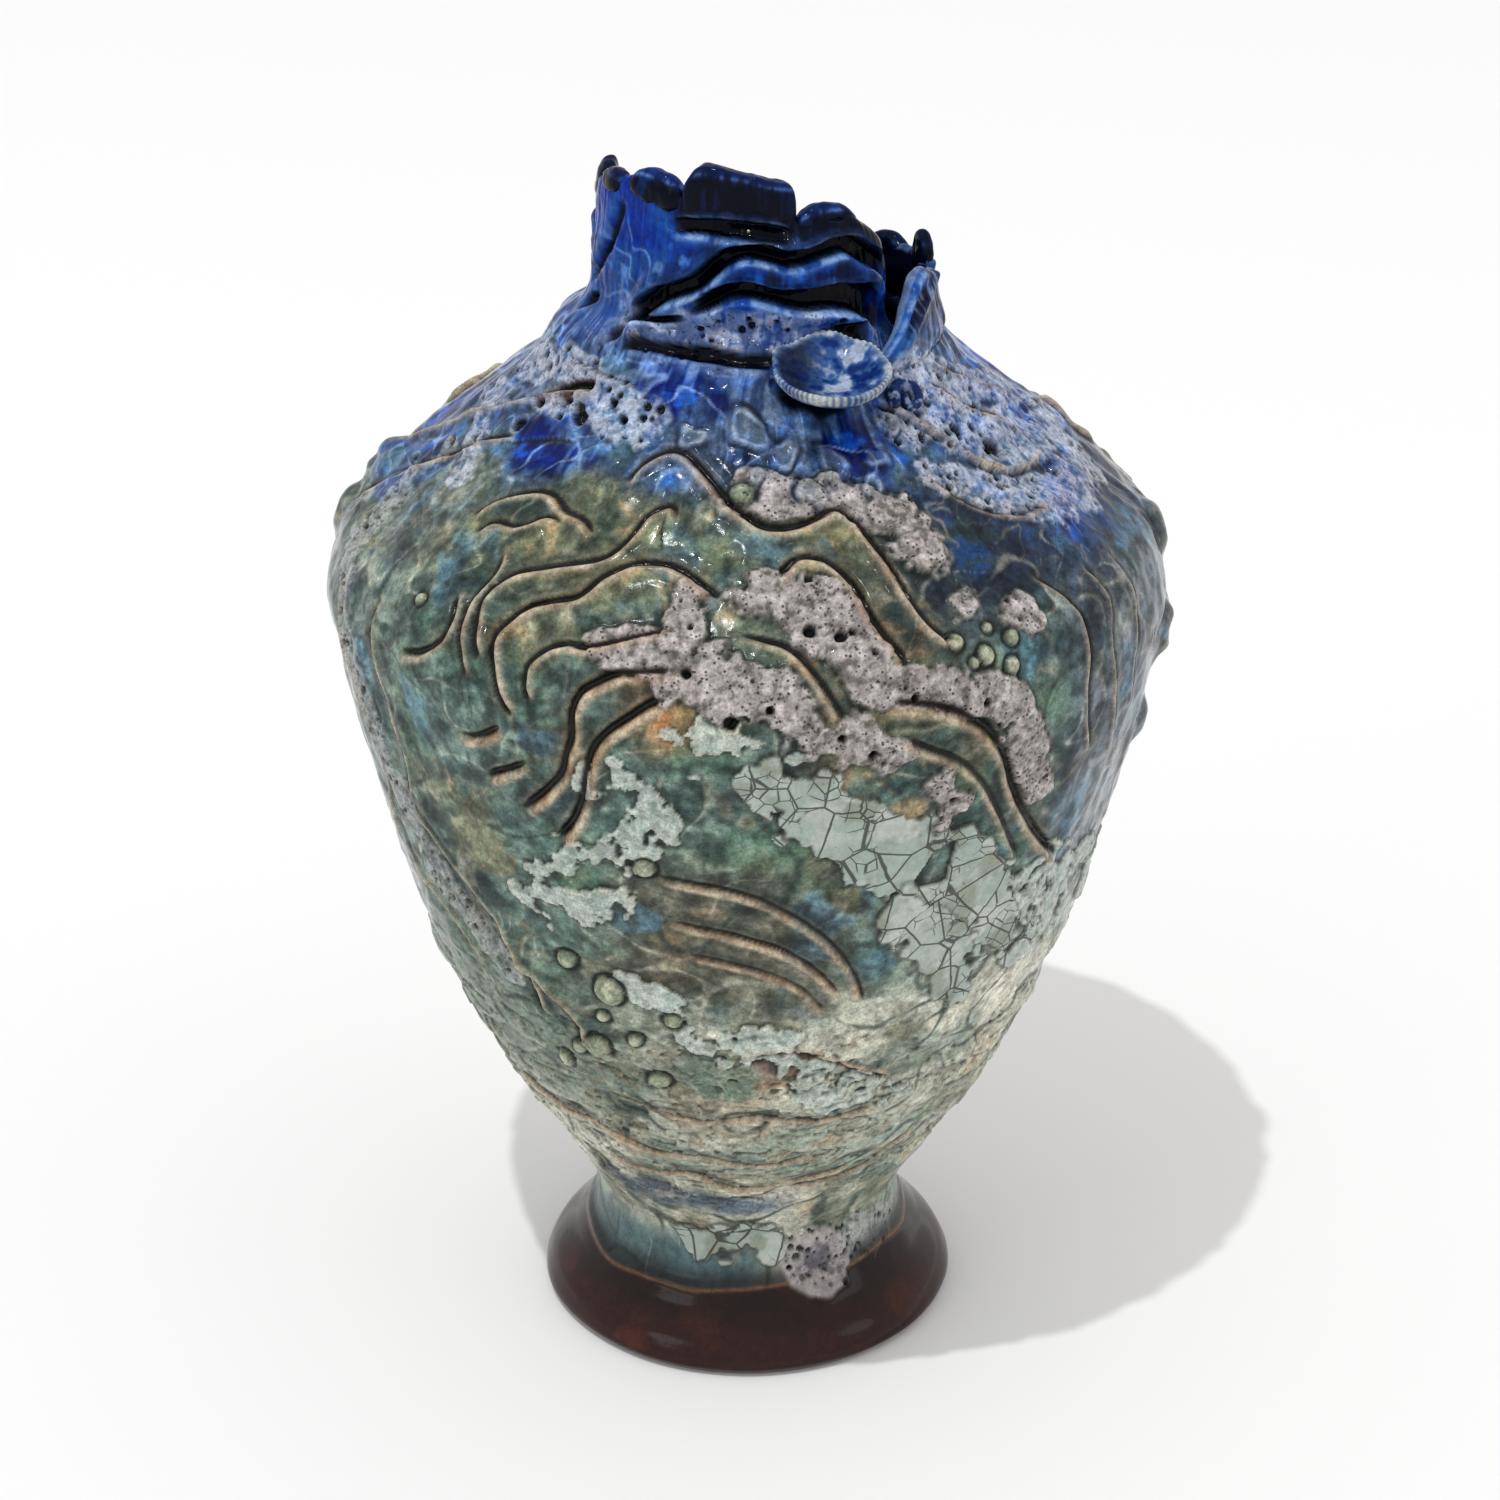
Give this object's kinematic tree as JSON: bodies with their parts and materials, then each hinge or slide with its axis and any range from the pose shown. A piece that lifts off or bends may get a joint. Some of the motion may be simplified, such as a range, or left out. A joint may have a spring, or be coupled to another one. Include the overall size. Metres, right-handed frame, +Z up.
{
  "type": "stoneware vase",
  "caption": "Wide-shouldered stoneware vase on a flared foot, with a wrapped torn neck, wavy relief and crusted, crackled glazes.",
  "frame": {"origin": "centre of the foot's resting ring, on the surface the vase stands on", "axes": "+Z up the pot's axis to the torn rim; -Y is the front with the shell and the overlapping flap to its right; +X is the viewer's right"},
  "size_m": [0.2374, 0.229, 0.3499],
  "materials": {
    "brown_foot": "gloss, oxblood brown",
    "sage_glaze": "satin gloss, sage and cream streaks",
    "teal_glaze": "gloss, mottled teal and olive",
    "blue_glaze": "gloss, streaked blue with pale foam",
    "cobalt_glaze": "gloss, deep cobalt",
    "ochre_edge": "gloss, thin glaze broken to ochre",
    "pellet_glaze": "gloss, olive cream"
  },
  "bodies": {
    "root": {"pedestal_foot": "brown_foot", "lower_wall": "sage_glaze", "belly_wall": "teal_glaze", "shoulder_wall": "blue_glaze", "neck_wrap": "cobalt_glaze", "overlap_flap": "blue_glaze", "neck_ledge_1": "cobalt_glaze", "neck_ledge_2": "cobalt_glaze", "neck_ledge_3": "blue_glaze", "neck_ledge_4": "blue_glaze", "neck_ledge_5": "blue_glaze", "rim_slab": "cobalt_glaze", "rim_lobe_left": "cobalt_glaze", "rim_lobe_right": "cobalt_glaze", "rim_horn_left": "cobalt_glaze", "rim_horn_side": "cobalt_glaze", "rim_horn_right_1": "cobalt_glaze", "rim_horn_right_2": "cobalt_glaze", "shell_shelf": "blue_glaze", "snail_curl": "cobalt_glaze", "side_lump_left": "blue_glaze", "side_lump_right": "teal_glaze", "side_loop_right": "teal_glaze", "side_lump_low": "teal_glaze", "ring_button_1": "blue_glaze", "ring_button_2": "blue_glaze", "ring_button_3": "blue_glaze", "ring_button_4": "blue_glaze", "ring_button_5": "blue_glaze", "ring_button_6": "blue_glaze", "pellet_1": "pellet_glaze", "pellet_2": "pellet_glaze", "pellet_3": "pellet_glaze", "pellet_4": "pellet_glaze", "pellet_5": "pellet_glaze", "pellet_6": "pellet_glaze", "pellet_7": "pellet_glaze", "pellet_8": "pellet_glaze", "pellet_9": "pellet_glaze", "pellet_10": "pellet_glaze", "wave_coil_crest": "ochre_edge", "wave_coil_left_high": "ochre_edge", "wave_coil_left_mid": "teal_glaze", "wave_coil_left_low": "teal_glaze", "wave_coil_centre": "teal_glaze", "wave_coil_fall": "ochre_edge", "wave_coil_inner_fall": "teal_glaze", "wave_coil_right_high": "ochre_edge", "wave_coil_right_mid": "teal_glaze", "wave_coil_right_low": "teal_glaze", "wave_coil_shoulder_left": "ochre_edge", "wave_coil_side_right": "teal_glaze"}
  },
  "joints": []
}
